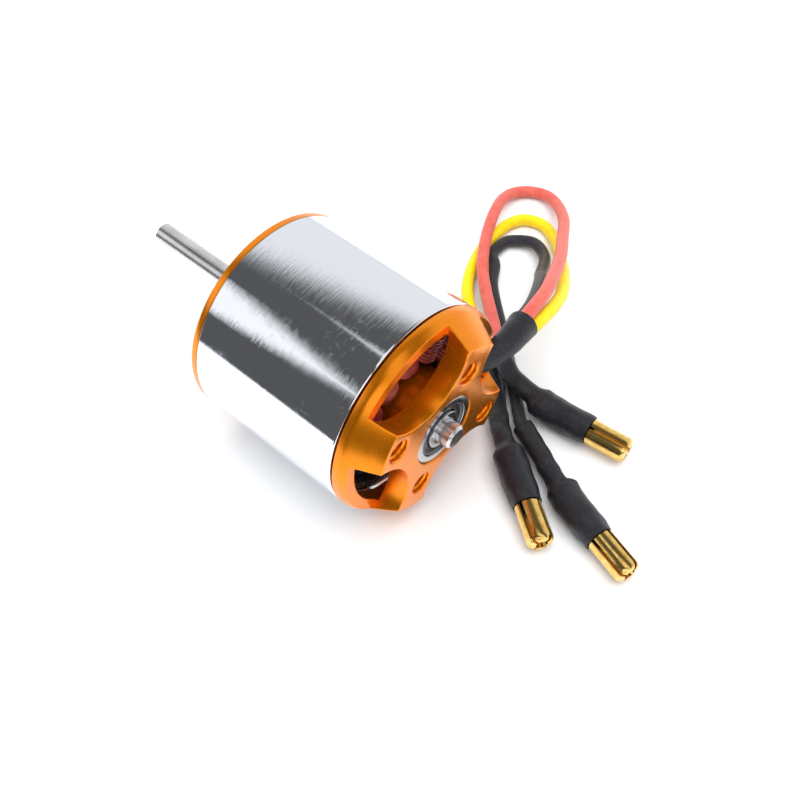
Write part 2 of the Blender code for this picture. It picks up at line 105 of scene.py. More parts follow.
# The centre's distance from the axis, radius and direction
SCALLOPS = ((13.3, 7.0, 104), (13.3, 7.0, 284), (14.2, 7.2, 193.5), (14.2, 7.2, 13.5))
BEARING_R = 4.7625
BEARING_WIDTH = 3.967
SEAT_EDGE = 0.12
SEAT_GAP = 0.05
REAR_BEARING = FACE - SEAT_EDGE - BEARING_WIDTH / 2
FRONT_BEARING = TUBE_FRONT + SEAT_GAP + BEARING_WIDTH / 2
CLEARANCE = 0.03
SEAT_R = BEARING_R + CLEARANCE
BORE_R = SHAFT_R + CLEARANCE
OUTER_RACE_R = 3.80
OUTER_TRACK_R = 4.02
INNER_RACE_R = 2.55
LAMINATION = 0.35
TEETH = 12
STACK = (7.0, 21.2)
STEM_HALF = 0.95
COIL_R = (7.0, 10.15)
END_LAYERS = 5
GAUGE = 0.46
COIL_SAG = 0.7
STACK_HALF = (STACK[1] - STACK[0]) / 2
WIRE_R = 0.9
PIN_R = 1.75
PIN_LENGTH = 5.6
PIN_GAP = 0.12
LUMPS_PER_MM = 0.55

# The routes of the leads, in metres, as the CAD has them
SLEEVE_ROUTE = (
    (0.0197, 0.0084, 0.0160), (0.0206, 0.0084, 0.0160), (0.0217, 0.0090, 0.0162),
    (0.0225, 0.0106, 0.0165), (0.0229, 0.0130, 0.0169), (0.0229, 0.0152, 0.01705),
    (0.0227, 0.0170, 0.0170),
)
WIRE_ROUTES = {
    "red": (
        (0.0227, 0.01715, 0.01805), (0.0224, 0.0195, 0.0179), (0.0215, 0.0234, 0.0168),
        (0.0195, 0.0284, 0.0144), (0.0167, 0.0347, 0.0111), (0.0130, 0.0413, 0.0074),
        (0.0094, 0.0474, 0.0044), (0.0056, 0.0516, 0.0022), (0.0026, 0.0532, 0.0013),
        (-0.0002, 0.0526, 0.0010), (-0.0020, 0.0504, 0.0012), (-0.0020, 0.0473, 0.0020),
        (-0.0008, 0.0436, 0.0028), (0.0010, 0.0396, 0.0030), (0.0032, 0.0356, 0.0030),
        (0.0058, 0.0320, 0.0029), (0.0090, 0.0288, 0.0028), (0.0125, 0.0257, 0.0028),
        (0.0154, 0.0230, 0.0032), (0.0176, 0.0210, 0.0037),
    ),
    "yellow": (
        (0.02365, 0.01715, 0.01645), (0.0235, 0.0198, 0.0161), (0.0229, 0.0236, 0.0149),
        (0.0212, 0.0284, 0.0123), (0.0178, 0.0344, 0.0086), (0.0134, 0.0405, 0.0049),
        (0.0098, 0.0453, 0.0017), (0.0061, 0.0476, 0.00095), (0.0030, 0.0468, 0.00095),
        (0.0016, 0.0444, 0.00095), (0.0014, 0.0414, 0.00095), (0.0016, 0.0382, 0.00095),
        (0.0025, 0.0346, 0.00095), (0.0039, 0.0314, 0.00095), (0.0056, 0.0288, 0.00095),
        (0.0078, 0.0266, 0.00095), (0.0112, 0.0240, 0.00095), (0.0146, 0.0215, 0.00095),
        (0.0167, 0.01975, 0.0013),
    ),
    "black": (
        (0.02175, 0.01715, 0.01645), (0.0212, 0.0204, 0.0159), (0.0194, 0.0249, 0.0137),
        (0.0166, 0.0304, 0.0101), (0.0144, 0.0341, 0.0063), (0.0110, 0.0406, 0.0025),
        (0.0074, 0.0430, 0.0015), (0.0042, 0.0416, 0.0010), (0.0035, 0.0400, 0.00095),
        (0.0037, 0.0372, 0.00095), (0.0054, 0.0357, 0.00095), (0.0073, 0.0326, 0.00095),
        (0.0098, 0.0300, 0.00095), (0.0129, 0.0272, 0.00095), (0.0162, 0.0242, 0.00095),
        (0.0194, 0.0212, 0.00095), (0.0226, 0.0181, 0.00095), (0.0252, 0.0154, 0.0012),
        (0.0266, 0.0141, 0.0017),
    ),
}
SHRINK_ROUTES = {
    "red": (
        (0.01785, 0.0208, 0.00375), (0.0200, 0.0191, 0.0040), (0.0226, 0.0182, 0.0038),
        (0.0252, 0.0182, 0.0031), (0.0280, 0.0184, 0.0022), (0.0340, 0.0190, 0.0022),
    ),
    "yellow": (
        (0.0169, 0.0196, 0.0014), (0.0194, 0.0173, 0.0014), (0.0218, 0.0148, 0.00145),
        (0.0241, 0.0124, 0.0017), (0.0268, 0.0100, 0.0022), (0.0310, 0.0070, 0.0022),
        (0.0345, 0.0045, 0.0022),
    ),
    "black": (
        (0.02685, 0.0139, 0.0018), (0.0308, 0.0120, 0.0021), (0.0338, 0.0104, 0.0022),
        (0.0365, 0.0091, 0.0022), (0.0404, 0.0076, 0.0022), (0.0440, 0.0065, 0.0022),
    ),
}
PIN_TURNS = {"red": 0.35, "yellow": 0.75, "black": 0.95}
LUMP_SEEDS = {"red": 1.0, "yellow": 7.0, "black": 15.0}

ring_low, ring_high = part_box("flux_ring")
AXIS = Vector((
    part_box("shaft")[0].x - SHAFT_SPAN[0] * MM,
    (ring_low.y + ring_high.y) / 2,
    (ring_low.z + ring_high.z) / 2,
))


# Camera

def make_camera():
    """A short telephoto view from above, over the mounting face."""
    data = bpy.data.cameras.new("camera")
    data.sensor_width = 36.0
    data.lens = 43.38
    camera = bpy.data.objects.new("camera", data)
    azimuth, elevation = math.radians(40.9436), math.radians(54.0149)
    back = Vector((
        math.sin(azimuth) * math.cos(elevation),
        -math.cos(azimuth) * math.cos(elevation),
        math.sin(elevation),
    ))
    camera.location = (0.0620675, -0.0516921, 0.1080071)
    camera.rotation_mode = "QUATERNION"
    camera.rotation_quaternion = (-back).to_track_quat("-Z", "Y")
    bpy.context.scene.collection.objects.link(camera)
    bpy.context.scene.camera = camera


make_camera()


# Finishes

class Nodes:
    """Short ways to add nodes to a tree."""

    def __init__(self, tree):
        self.tree = tree

    def node(self, kind, links=(), **settings):
        made = self.tree.nodes.new(kind)
        for name, value in settings.items():
            setattr(made, name, value)
        for socket, source in dict(links).items():
            if isinstance(source, bpy.types.NodeSocket):
                self.tree.links.new(source, made.inputs[socket])
            else:
                made.inputs[socket].default_value = source
        return made

    def spread(self, value, source, target, smooth=False):
        """The value moved from one range to another, kept inside it."""
        links = {0: value, 1: source[0], 2: source[1], 3: target[0], 4: target[1]}
        kind = "SMOOTHSTEP" if smooth else "LINEAR"
        return self.node("ShaderNodeMapRange", links, interpolation_type=kind).outputs[0]

    def maths(self, a, b, operation="ADD"):
        return self.node("ShaderNodeMath", {0: a, 1: b}, operation=operation).outputs[0]

    def vector(self, a, b, operation="MULTIPLY"):
        return self.node("ShaderNodeVectorMath", {0: a, 1: b}, operation=operation).outputs[0]


class Finish(Nodes):
    """A material built round one Principled shader."""

    def __init__(self, name, colour, roughness, metallic=0.0, **sockets):
        self.material = bpy.data.materials.new(name)
        self.material.use_nodes = True
        super().__init__(self.material.node_tree)
        self.shader = self.tree.nodes["Principled BSDF"]
        self.shader.inputs["Base Color"].default_value = (*colour, 1.0)
        self.shader.inputs["Roughness"].default_value = roughness
        self.shader.inputs["Metallic"].default_value = metallic
        for socket, value in sockets.items():
            self.shader.inputs[socket.replace("_", " ")].default_value = value

    def place(self, stretch=(1, 1, 1), origin=(0, 0, 0)):
        """Object coordinates in millimetres from an origin, stretched."""
        coords = self.node("ShaderNodeTexCoord").outputs["Object"]
        moved = self.vector(coords, tuple(origin), "SUBTRACT")
        return self.vector(moved, tuple(s / MM for s in stretch))

    def turning(self, fine, wobble):
        """Coordinates for marks that run round the motor's axis: they vary along it and outwards from it."""
        here = self.node("ShaderNodeSeparateXYZ", {0: self.place(origin=AXIS)}).outputs
        across = self.node("ShaderNodeCombineXYZ", {"Y": here["Y"], "Z": here["Z"]}).outputs[0]
        radius = self.node("ShaderNodeVectorMath", {0: across}, operation="LENGTH").outputs["Value"]
        total = self.maths(self.maths(here["X"], radius), fine, "MULTIPLY")
        line = self.node("ShaderNodeCombineXYZ", {"X": total}).outputs[0]
        return self.vector(line, self.vector(across, (0, wobble, wobble)), "ADD")

    def noise(self, vector, scale=1.0, detail=2.0, roughness=0.5):
        links = {"Vector": vector, "Scale": scale, "Detail": detail, "Roughness": roughness}
        return self.node("ShaderNodeTexNoise", links).outputs["Fac"]

    def even(self, value, target):
        """Noise, which mostly lies from 0.3 to 0.7, moved to a range."""
        return self.spread(value, (0.3, 0.7), target)

    def cells(self, vector, scale=1.0, feature="F1", randomness=1.0):
        links = {"Vector": vector, "Scale": scale, "Randomness": randomness}
        return self.node("ShaderNodeTexVoronoi", links, feature=feature).outputs["Distance"]

    def blend(self, share, a, b):
        """A colour between two colours."""
        mix = self.node("ShaderNodeMix", {0: share}, data_type="RGBA")
        for index, colour in ((6, a), (7, b)):
            if isinstance(colour, bpy.types.NodeSocket):
                self.tree.links.new(colour, mix.inputs[index])
            else:
                mix.inputs[index].default_value = (*colour, 1.0)
        return mix.outputs[2]

    def bump(self, height, distance, strength=1.0, normal=None):
        links = {"Height": height, "Distance": distance * MM, "Strength": strength}
        if normal is not None:
            links["Normal"] = normal
        return self.node("ShaderNodeBump", links).outputs["Normal"]

    def use(self, **sockets):
        for socket, source in sockets.items():
            self.tree.links.new(source, self.shader.inputs[socket.replace("_", " ")])
        return self.material


def orange_finish():
    """Satin anodised aluminium: fine turning marks, slight clouding and a thin clear layer."""
    coat = {"Coat_Weight": 0.2, "Coat_Roughness": 0.15}
    f = Finish("orange_anodised_finish", (0.94, 0.27, 0.002), 0.27, 0.88, **coat)
    marks = f.noise(f.turning(2.5, 0.02), detail=1.0)
    cloud = f.noise(f.place(), 0.35, 3.0)
    grain = f.noise(f.place(), 9.0, 2.0)
    colour = f.blend(cloud, (0.91, 0.245, 0.001), (0.96, 0.29, 0.003))
    rough = f.maths(f.even(marks, (0.26, 0.28)), f.even(grain, (0.0, 0.03)))
    normal = f.bump(marks, 0.0003, 0.1, f.bump(grain, 0.0005, 0.1))
    return f.use(Base_Color=colour, Roughness=rough, Normal=normal)


def polished_finish():
    """Polished steel: fine turning grooves round the bell and short scratches in patches."""
    f = Finish("polished_steel_finish", (0.84, 0.87, 0.93), 0.08, 1.0)
    groove = f.noise(f.turning(10.0, 0.25), detail=2.0, roughness=0.6)
    wave = f.noise(f.turning(0.9, 0.03), detail=1.0)
    patch = f.spread(f.noise(f.place(), 0.16, 2.0), (0.48, 0.62), (0, 1))
    lines = [
        f.spread(f.cells(f.place(stretch), 1.0, "DISTANCE_TO_EDGE"), (0.0, 0.02), (1.0, 0.0))
        for stretch in ((0.35, 2.1, 1.1), (1.9, 0.4, 1.5))
    ]
    broken = f.spread(f.noise(f.place(), 1.4, 2.0), (0.52, 0.6), (0, 1))
    crossed = f.maths(lines[0], lines[1], "MAXIMUM")
    scratch = f.maths(f.maths(crossed, broken, "MULTIPLY"), patch, "MULTIPLY")
    rough = f.maths(f.even(groove, (0.03, 0.07)), f.maths(scratch, 0.3, "MULTIPLY"))
    normal = f.bump(groove, 0.009, 0.7, f.bump(wave, 0.005, 0.4))
    return f.use(Roughness=rough, Normal=f.bump(scratch, 0.003, 0.5, normal))


def ground_finish():
    """Ground shaft steel with marks round it."""
    f = Finish("ground_steel_finish", (0.72, 0.72, 0.74), 0.16, 1.0)
    fine = f.noise(f.turning(14.0, 0.1), detail=4.0, roughness=0.6)
    stain = f.noise(f.place((0.4, 1, 1)), 0.8, 3.0)
    colour = f.blend(f.spread(stain, (0.35, 0.7), (0, 1)), (0.76, 0.76, 0.78), (0.62, 0.61, 0.62))
    rough = f.even(fine, (0.2, 0.34))
    return f.use(Base_Color=colour, Roughness=rough, Normal=f.bump(fine, 0.004, 0.6))


def bearing_finish():
    """Ground and smeared bearing races."""
    f = Finish("bearing_steel_finish", (0.60, 0.60, 0.62), 0.15, 1.0)
    fine = f.noise(f.turning(16.0, 0.05), detail=3.0)
    smear = f.noise(f.place(), 1.5, 3.0)
    rough = f.maths(f.even(fine, (0.1, 0.18)), f.spread(smear, (0.4, 0.8), (0.0, 0.12)))
    return f.use(Roughness=rough, Normal=f.bump(fine, 0.003, 0.5))


def shield_finish():
    """Dark pressed steel with a smear of grease."""
    f = Finish("shield_steel_finish", (0.2, 0.2, 0.21), 0.3, 1.0)
    fine = f.noise(f.turning(10.0, 0.2), detail=3.0)
    smear = f.noise(f.place(), 2.5, 3.0)
    colour = f.blend(f.spread(smear, (0.35, 0.7), (0, 1)), (0.24, 0.24, 0.25), (0.13, 0.125, 0.125))
    rough = f.even(fine, (0.22, 0.42))
    return f.use(Base_Color=colour, Roughness=rough, Normal=f.bump(fine, 0.004, 0.5))


def black_oxide_finish():
    """Blackened screw steel."""
    f = Finish("black_oxide_finish", (0.03, 0.03, 0.032), 0.42, 0.85)
    grain = f.noise(f.place(), 7.0, 3.0)
    colour = f.blend(grain, (0.02, 0.02, 0.022), (0.07, 0.065, 0.06))
    rough = f.even(grain, (0.3, 0.55))
    return f.use(Base_Color=colour, Roughness=rough, Normal=f.bump(grain, 0.01, 0.4))


def magnet_finish():
    """Magnets under a glossy black coat, with small pale specks scattered over it."""
    f = Finish("coated_magnet_finish", (0.03, 0.03, 0.034), 0.3)
    grain = f.noise(f.place(), 4.0, 4.0)
    specks = f.spread(f.cells(f.place(), 1.0), (0.09, 0.16), (1, 0))
    coat = f.blend(f.spread(grain, (0.35, 0.7), (0, 1)), (0.018, 0.018, 0.022), (0.06, 0.058, 0.062))
    colour = f.blend(specks, coat, (0.75, 0.74, 0.72))
    rough = f.spread(f.maths(f.even(grain, (0.2, 0.4)), specks, "MAXIMUM"), (0, 1), (0.15, 0.6))
    return f.use(Base_Color=colour, Roughness=rough, Normal=f.bump(grain, 0.02, 0.5))


def core_finish():
    """Coated laminations with the coating's orange peel."""
    f = Finish("coated_core_finish", (0.05, 0.055, 0.08), 0.45)
    along = f.node("ShaderNodeSeparateXYZ", {0: f.place()}).outputs["X"]
    phase = f.maths(along, 2 * math.pi / LAMINATION, "MULTIPLY")
    sheets = f.maths(f.maths(phase, 0.0, "SINE"), 1.0)
    peel = f.noise(f.place(), 5.0, 2.0)
    colour = f.blend(peel, (0.035, 0.04, 0.065), (0.08, 0.085, 0.11))
    normal = f.bump(sheets, 0.02, 0.6, f.bump(peel, 0.02, 0.4))
    return f.use(Base_Color=colour, Roughness=f.even(peel, (0.35, 0.55)), Normal=normal)


def copper_finish():
    """Magnet wire under red-brown enamel."""
    coat = {"Coat_Weight": 0.7, "Coat_Roughness": 0.12}
    f = Finish("enamelled_copper_finish", (0.7, 0.12, 0.08), 0.28, 0.25, **coat)
    tone = f.noise(f.place(), 1.2, 3.0)
    grain = f.noise(f.place(), 14.0, 2.0)
    colour = f.blend(f.spread(tone, (0.35, 0.65), (0, 1)), (0.30, 0.025, 0.022), (0.50, 0.075, 0.06))
    rough = f.even(grain, (0.2, 0.36))
    return f.use(Base_Color=colour, Roughness=rough, Normal=f.bump(grain, 0.006, 0.4))


def silicone_finish(name, dark, light, roughness):
    """Soft wire insulation: matt, a little translucent, with a powdery bloom."""
    f = Finish(
        name, light, roughness, Subsurface_Weight=0.12, Subsurface_Scale=0.0006,
        Subsurface_Radius=(1.0, 0.4, 0.25), Specular_IOR_Level=0.4, Sheen_Weight=0.08, Sheen_Roughness=0.5,
    )
    bloom = f.noise(f.place(), 0.9, 4.0)
    grain = f.noise(f.place(), 16.0, 3.0)
    colour = f.blend(f.even(bloom, (0, 1)), dark, light)
    rough = f.maths(f.even(bloom, (0, 0.1)), f.even(grain, (roughness - 0.05, roughness)))
    normal = f.bump(grain, 0.008, 0.5, f.bump(bloom, 0.03, 0.3))
    return f.use(Base_Color=colour, Roughness=rough, Normal=normal)


def shrink_finish():
    """Black heat-shrink tubing: satin, faintly wrinkled, with dusty rub marks."""
    f = Finish("shrink_tube_finish", (0.016, 0.017, 0.022), 0.42, Specular_IOR_Level=0.5)
    wrinkle = f.noise(f.place(), 1.3, 3.0, 0.55)
    grain = f.noise(f.place(), 18.0, 3.0)
    dust = f.noise(f.place(), 2.4, 5.0, 0.7)
    colour = f.blend(f.spread(dust, (0.55, 0.85), (0, 0.7)), (0.013, 0.014, 0.019), (0.075, 0.075, 0.08))
    rough = f.maths(f.spread(dust, (0.4, 0.8), (0.0, 0.16)), f.even(grain, (0.34, 0.46)))
    normal = f.bump(grain, 0.006, 0.5, f.bump(wrinkle, 0.16, 0.55))
    return f.use(Base_Color=colour, Roughness=rough, Normal=normal)


def gold_finish():
    """Gold-plated brass with fine drawing marks and darker patches in the plating."""
    f = Finish("gold_plate_finish", (0.92, 0.62, 0.19), 0.2, 1.0)
    patch = f.noise(f.place(), 1.3, 4.0)
    grain = f.noise(f.place(), 11.0, 3.0)
    colour = f.blend(f.spread(patch, (0.35, 0.7), (0, 1)), (0.95, 0.68, 0.24), (0.80, 0.47, 0.10))
    rough = f.maths(f.spread(patch, (0.35, 0.7), (0.1, 0.2)), f.even(grain, (0.0, 0.08)))
    normal = f.bump(grain, 0.006, 0.45, f.bump(patch, 0.03, 0.25))
    return f.use(Base_Color=colour, Roughness=rough, Normal=normal)


SILICONE = {  # darker and lighter tone, roughness
    "red": ((0.60, 0.095, 0.07), (0.72, 0.15, 0.115), 0.48),
    "yellow": ((0.93, 0.62, 0.0), (1.0, 0.75, 0.01), 0.48),
    "black": ((0.016, 0.017, 0.02), (0.03, 0.03, 0.034), 0.45),
}
FINISHES = {
    "orange_anodised": orange_finish(),
    "polished_steel": polished_finish(),
    "ground_steel": ground_finish(),
    "bearing_steel": bearing_finish(),
    "shield_steel": shield_finish(),
    "black_oxide": black_oxide_finish(),
    "coated_magnet": magnet_finish(),
    "coated_core": core_finish(),
    "enamelled_copper": copper_finish(),
    "shrink_tube": shrink_finish(),
    "gold_plate": gold_finish(),
}
for tone, looks in SILICONE.items():
    FINISHES[f"{tone}_silicone"] = silicone_finish(f"{tone}_silicone_finish", *looks)


# Shapes

def spot(radius, station, degrees):
    """A place in the frame from millimetres out from the axis, a station and a direction."""
    angle = math.radians(degrees)
    return AXIS + Vector((station, radius * math.cos(angle), radius * math.sin(angle))) * MM


def flat_spot(point, station):
    """A place from millimetres along Y and Z from the axis."""
    return AXIS + Vector((station, point[0], point[1])) * MM


def add_piece(name, data, slot, body, replaced=()):
    """A piece that rides a body, in a finish, in place of the CAD nodes that it replaces."""
    obj = bpy.data.objects.new(name, data)
    bpy.context.scene.collection.objects.link(obj)
    data.materials.append(FINISHES[slot])
    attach(obj, body)
    if replaced:
        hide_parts(*replaced)
    return obj


def mesh_piece(name, bm, slot, body, replaced=(), sharp=35, weighted=True):
    """A smooth-shaded piece from a bmesh, which it uses up."""
    bmesh.ops.remove_doubles(bm, verts=bm.verts, dist=0.000002)
    bmesh.ops.recalc_face_normals(bm, faces=bm.faces)
    mesh = bpy.data.meshes.new(name)
    bm.to_mesh(mesh)
    bm.free()
    mesh.shade_smooth()
    mesh.set_sharp_from_angle(angle=math.radians(sharp))
    obj = add_piece(name, mesh, slot, body, replaced)
    if weighted:
        modifier = obj.modifiers.new("even normals", "WEIGHTED_NORMAL")
        modifier.keep_sharp = True
        modifier.weight = 90
    return obj


def ring_of(bm, points):
    """Vertices at the points."""
    return [bm.verts.new(p) for p in points]


def strip(bm, rings, closed=True):
    """Quads between rings of the same number of points."""
    count = len(rings[0])
    for low, high in zip(rings, rings[1:]):
        for i in range(count if closed else count - 1):
            j = (i + 1) % count
            bm.faces.new((low[i], low[j], high[j], high[i]))


def fill(bm, rings):
    """A flat face inside the first ring, with the other rings as holes in it."""
    edges = []
    for ring in rings:
        for a, b in zip(ring, ring[1:] + ring[:1]):
            edges.append(bm.edges.get((a, b)) or bm.edges.new((a, b)))
    bmesh.ops.triangle_fill(bm, use_beauty=True, use_dissolve=False, edges=edges)


def rounded(profile, steps=4):
    """A profile of (radius, station, reach) with each corner rounded over its reach."""
    made = []
    count = len(profile)
    for i, (radius, station, reach) in enumerate(profile):
        here = Vector((radius, station))
        if reach == 0:
            made.append(here)
            continue
        before, after = profile[(i - 1) % count], profile[(i + 1) % count]
        a = here + (Vector(before[:2]) - here).normalized() * reach
        b = here + (Vector(after[:2]) - here).normalized() * reach
        for k in range(steps + 1):
            t = k / steps
            made.append(a * (1 - t) ** 2 + here * 2 * t * (1 - t) + b * t**2)
    return [(p.x, p.y) for p in made]


def turn(bm, profile, segments, closed=True):
    """Faces of a turned shape from (radius, station) pairs."""
    rings = []
    for radius, station in profile:
        if radius < 1e-6:
            rings.append([bm.verts.new(spot(0, station, 0))] * segments)
        else:
            rings.append(ring_of(bm, [spot(radius, station, 360 * i / segments) for i in range(segments)]))
    pairs = list(zip(rings, rings[1:])) + ([(rings[-1], rings[0])] if closed else [])
    for low, high in pairs:
        for i in range(segments):
            corners = [low[i], low[(i + 1) % segments], high[(i + 1) % segments], high[i]]
            unique = list(dict.fromkeys(corners))
            if len(unique) > 2:
                bm.faces.new(unique)
    return rings


def turned_piece(name, profile, slot, body, replaced, segments=96, closed=True, sharp=35):
    """A turned shape as a piece, from a profile of (radius, station, reach)."""
    bm = bmesh.new()
    turn(bm, rounded(profile), segments, closed)
    return mesh_piece(name, bm, slot, body, replaced, sharp)


def circle(radius, count, centre=(0, 0)):
    """Points round a circle, in mm across the axis."""
    steps = [2 * math.pi * i / count for i in range(count)]
    return [(centre[0] + radius * math.cos(a), centre[1] + radius * math.sin(a)) for a in steps]


def inset(loop, distance):
    """An anticlockwise loop moved inwards by a distance in mm."""
    moved = []
    for before, here, after in zip(loop[-1:] + loop[:-1], loop, loop[1:] + loop[:1]):
        a = (Vector(here) - Vector(before)).normalized()
        b = (Vector(after) - Vector(here)).normalized()
        normal = Vector((-a.y - b.y, a.x + b.x)).normalized()
        reach = distance / max(0.5, normal.dot(Vector((-a.y, a.x))))
        moved.append((here[0] + normal.x * reach, here[1] + normal.y * reach))
    return moved


def soften(loop, reach, steps=4):
    """The loop with each sharp corner replaced by a small curve."""
    made = []
    for before, here, after in zip(loop[-1:] + loop[:-1], loop, loop[1:] + loop[:1]):
        here = Vector(here)
        a, b = Vector(before) - here, Vector(after) - here
        if a.angle(b) > math.radians(150):
            made.append(tuple(here))
            continue
        start = here + a.normalized() * min(reach, a.length * 0.6)
        end = here + b.normalized() * min(reach, b.length * 0.6)
        for k in range(steps + 1):
            t = k / steps
            made.append(tuple(start * (1 - t) ** 2 + here * 2 * t * (1 - t) + end * t**2))
    return made


def cone_radius(station):
    """Radius of the base's cone, which widens from the mounting face to the rim."""
    return FACE_R + (BELL_R - FACE_R) * (FACE - station) / (FACE - RIM[1])


def arm_outline(outer):
    """The loop round the four arms: a circle with the four scallops bitten out of it."""
    loop = []
    bites = sorted(SCALLOPS, key=lambda bite: bite[2])
    for i, (centre, radius, degrees) in enumerate(bites):
        direction = math.radians(degrees)
        swing = math.acos((radius**2 + centre**2 - outer**2) / (2 * radius * centre))
        middle = (centre * math.cos(direction), centre * math.sin(direction))
        for k in range(41):
            angle = direction + math.pi + swing * (1 - k / 20)
            loop.append((middle[0] + radius * math.cos(angle), middle[1] + radius * math.sin(angle)))
        ahead_centre, ahead_radius, ahead_degrees = bites[(i + 1) % 4]
        start = direction + bite_spread(centre, radius, outer)
        turned_on = math.radians(ahead_degrees + (360 if i == 3 else 0))
        end = turned_on - bite_spread(ahead_centre, ahead_radius, outer)
        for k in range(1, 24):
            angle = start + (end - start) * k / 24
            loop.append((outer * math.cos(angle), outer * math.sin(angle)))
    return soften(loop, 0.3)


def bite_spread(centre, radius, outer):
    """Half the angle, seen from the axis, that a scallop takes out of a circle."""
    return math.acos((outer**2 + centre**2 - radius**2) / (2 * outer * centre))


def edge_rings(bm, loop, face, edge, outward, sign):
    """Rings that round the edge between a face and its wall. sign is the way from the wall to the face."""
    rings = []
    for k in range(5):
        angle = math.pi / 2 * k / 4
        distance = edge * (1 - math.sin(angle)) * (-1 if outward else 1)
        station = face - sign * edge * (1 - math.cos(angle))
        rings.append(ring_of(bm, [flat_spot(p, station) for p in inset(loop, distance)]))
    return rings


def wall(bm, rings, loop, station):
    """Takes the last of the rings down a straight wall, and returns the ring at its foot."""
    foot = ring_of(bm, [flat_spot(p, station) for p in loop])
    strip(bm, [*rings, foot])
    return foot


def thread_ridge(bm, centre, radius, depth, span, pitch):
    """The inward ridge of a screw thread, as a strip wound down a hole."""
    turns = (span[1] - span[0]) / pitch
    steps = int(turns * 24)
    rails = [[], [], []]
    for i in range(steps + 1):
        angle = 2 * math.pi * i / 24
        station = span[0] + (span[1] - span[0]) * i / steps
        for rail, (r, shift) in zip(rails, ((radius, -0.42), (radius - depth, 0), (radius, 0.42))):
            point = (centre[0] + r * math.cos(angle), centre[1] + r * math.sin(angle))
            rail.append(bm.verts.new(flat_spot(point, station + shift * pitch)))
    strip(bm, rails, closed=False)


def make_base():
    """The anodised base: a short cone cut to four arms with tapped holes, its rim and the bearing tube."""
    bm = bmesh.new()
    rings = edge_rings(bm, arm_outline(FACE_R), FACE, ARM_EDGE, False, 1)
    for station in CONE_STATIONS:
        rings.append(ring_of(bm, [flat_spot(p, station) for p in arm_outline(cone_radius(station))]))
    strip(bm, rings)
    faces, feet = [rings[0]], [rings[-1]]
    for distance, degrees in SCREWS:
        direction = math.radians(degrees)
        centre = (distance * math.cos(direction), distance * math.sin(direction))
        loop = circle(HOLE_R, 40, centre)
        rings = edge_rings(bm, loop, FACE, THREAD_DEPTH, True, 1)
        faces.append(rings[0])
        feet.append(wall(bm, rings, loop, POCKET_END))
        thread_ridge(bm, centre, HOLE_R, THREAD_DEPTH, (POCKET_END + 0.3, FACE - 0.45), THREAD_PITCH)
    bore = edge_rings(bm, circle(SEAT_R, 96), FACE, SEAT_EDGE, True, 1)
    strip(bm, bore)
    faces.append(bore[0])
    rear_seat = REAR_BEARING - BEARING_WIDTH / 2 - SEAT_GAP
    front_seat = FRONT_BEARING + BEARING_WIDTH / 2 + SEAT_GAP
    inner = [
        (SEAT_R, FACE - SEAT_EDGE), (SEAT_R, rear_seat), (TUBE_BORE_R, rear_seat),
        (TUBE_BORE_R, front_seat), (SEAT_R, front_seat), (SEAT_R, TUBE_FRONT + 0.1),
        (SEAT_R + 0.1, TUBE_FRONT), (TUBE_R - 0.15, TUBE_FRONT), (TUBE_R, TUBE_FRONT + 0.15),
        (TUBE_R, POCKET_END),
    ]
    feet.append(turn(bm, inner, 96, closed=False)[-1])
    fill(bm, faces)
    fill(bm, feet)
    add_skirt(bm)
    ring = [
        (POCKET_R, RIM[0], 0.08), (BELL_R, RIM[0], 0.1), (BELL_R, RIM[1], 0.3),
        (cone_radius(SCALLOP_FLOOR), SCALLOP_FLOOR, 0.07), (POCKET_R, SCALLOP_FLOOR, 0.1),
    ]
    turn(bm, rounded(ring), 192)
    mesh_piece("motor_base", bm, "orange_anodised", "stator", ["mount_base"])


def add_skirt(bm):
    """The arms' outer walls from their underside down to the ring that joins them."""
    high = arm_outline(cone_radius(POCKET_END))
    low = arm_outline(cone_radius(SCALLOP_FLOOR - 0.05))
    posts = [(a, b, math.hypot(*b) >= POCKET_R - 0.1) for a, b in zip(high, low)]
    for (a, a_low, a_out), (b, b_low, b_out) in zip(posts, posts[1:] + posts[:1]):
        if a_out and b_out:
            upper = [flat_spot(a, POCKET_END), flat_spot(b, POCKET_END)]
            lower = [flat_spot(b_low, SCALLOP_FLOOR - 0.05), flat_spot(a_low, SCALLOP_FLOOR - 0.05)]
            bm.faces.new(ring_of(bm, upper + lower))


def vent_outline(middle):
    """One vent of the bell cap, with rounded corners."""
    steps = [VENT_HALF_ANGLE * (k / 8 - 1) for k in range(17)]
    outer = [(VENT_R[1] * math.cos(middle + a), VENT_R[1] * math.sin(middle + a)) for a in steps]
    inner = [(VENT_R[0] * math.cos(middle - a), VENT_R[0] * math.sin(middle - a)) for a in steps]
    return soften(outer + inner, 0.7, 6)


